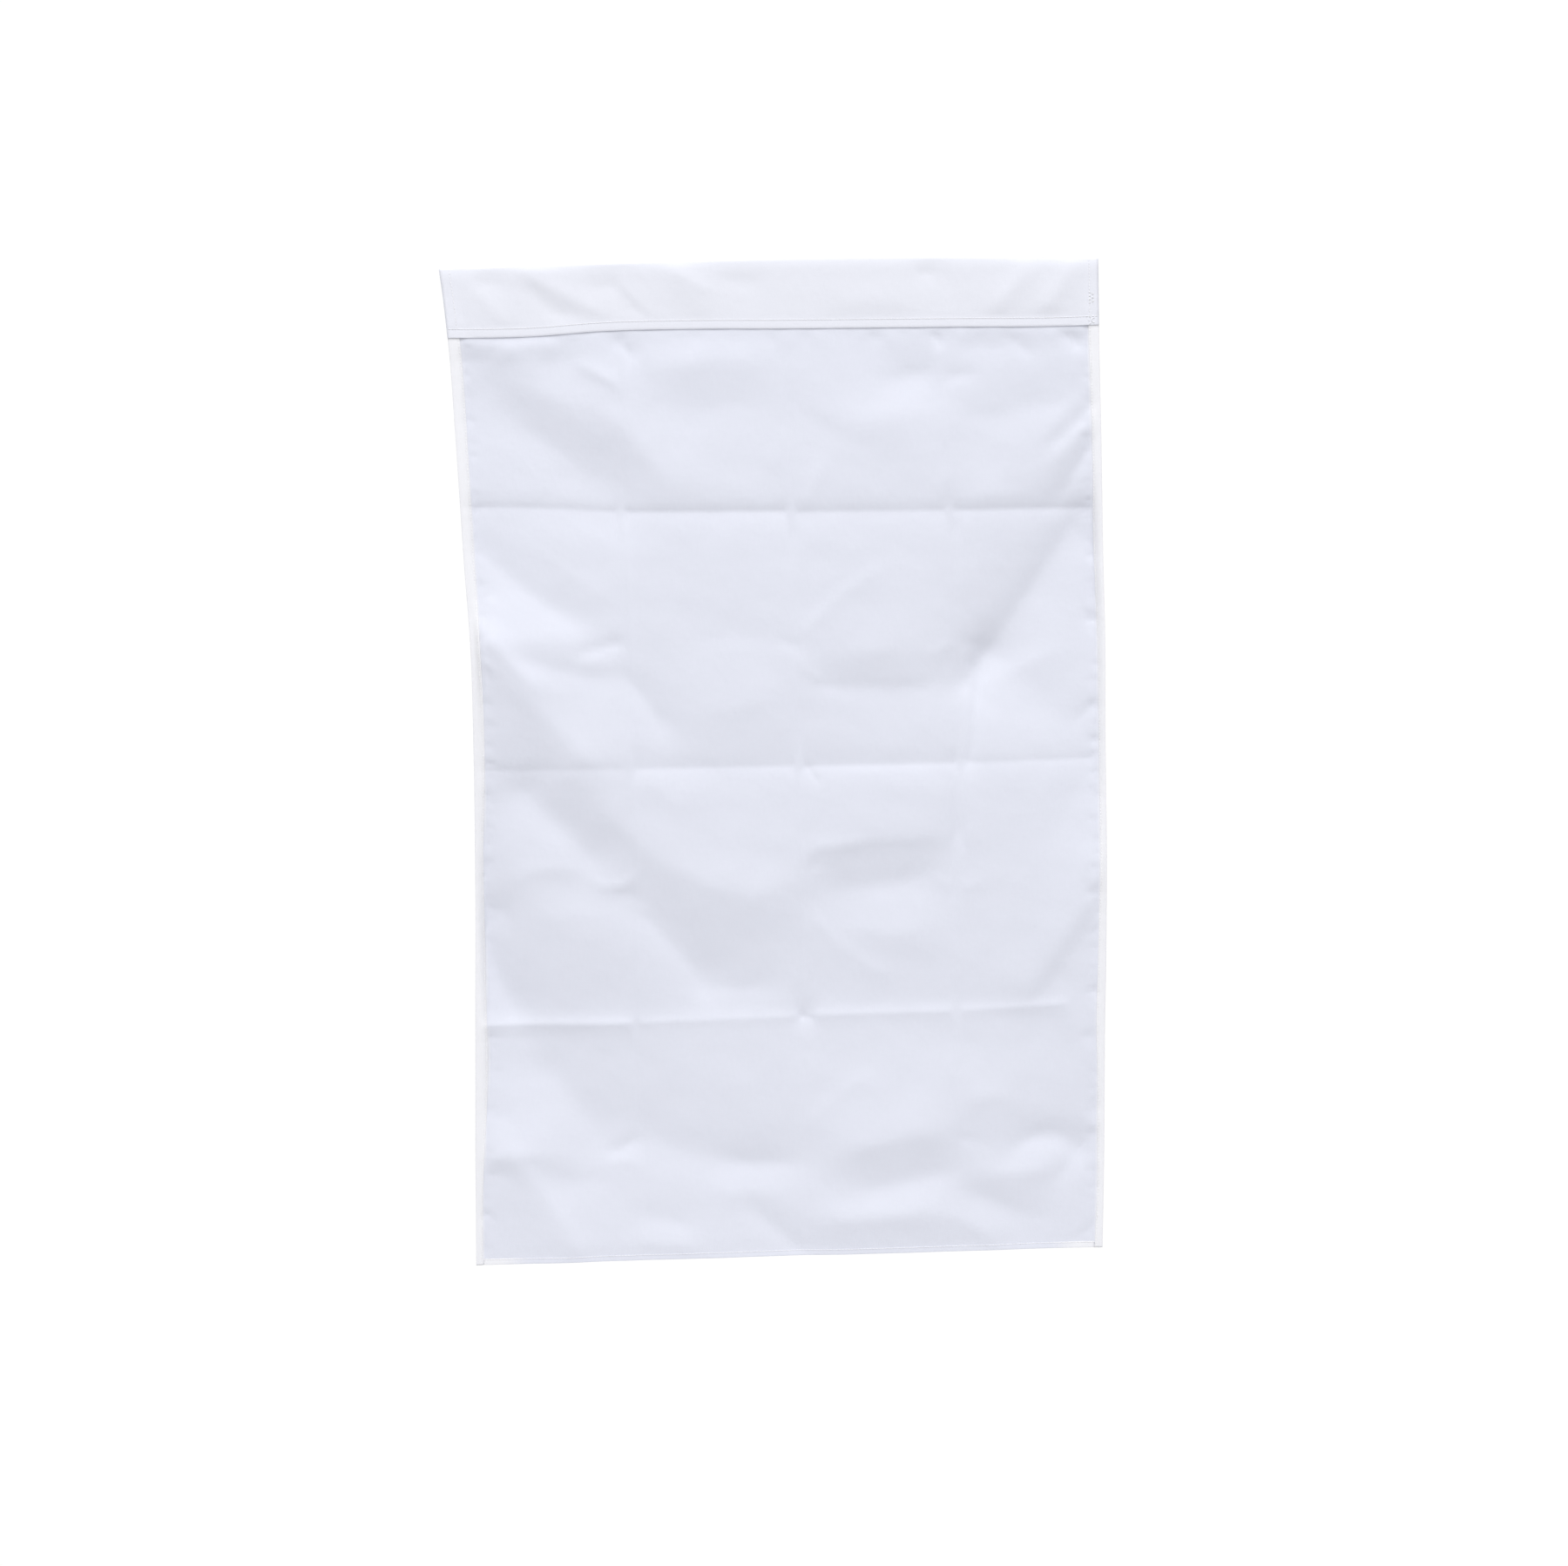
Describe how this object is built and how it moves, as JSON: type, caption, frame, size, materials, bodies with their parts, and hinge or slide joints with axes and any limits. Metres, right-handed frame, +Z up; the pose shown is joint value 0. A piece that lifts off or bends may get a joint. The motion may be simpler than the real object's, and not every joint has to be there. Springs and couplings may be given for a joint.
{
  "type": "garden flag",
  "caption": "Plain white cloth garden flag, hanging from a sewn pole sleeve along its top edge, with narrow hems and soft package creases",
  "frame": {"origin": "The middle of the top edge of the hung flag, over the centre plane of the pole sleeve", "axes": "+Z up, +X to the right of a viewer who faces the side that the sleeve is turned to, +Y away from that viewer"},
  "size_m": [0.7146, 0.0292, 1.098],
  "materials": {
    "white_cloth": "thin plain-weave polyester, cool white, matt with a faint sheen, doubled and paler at the hems"
  },
  "bodies": {
    "root": {"panel": "white_cloth", "pole_sleeve": "white_cloth"}
  },
  "joints": []
}
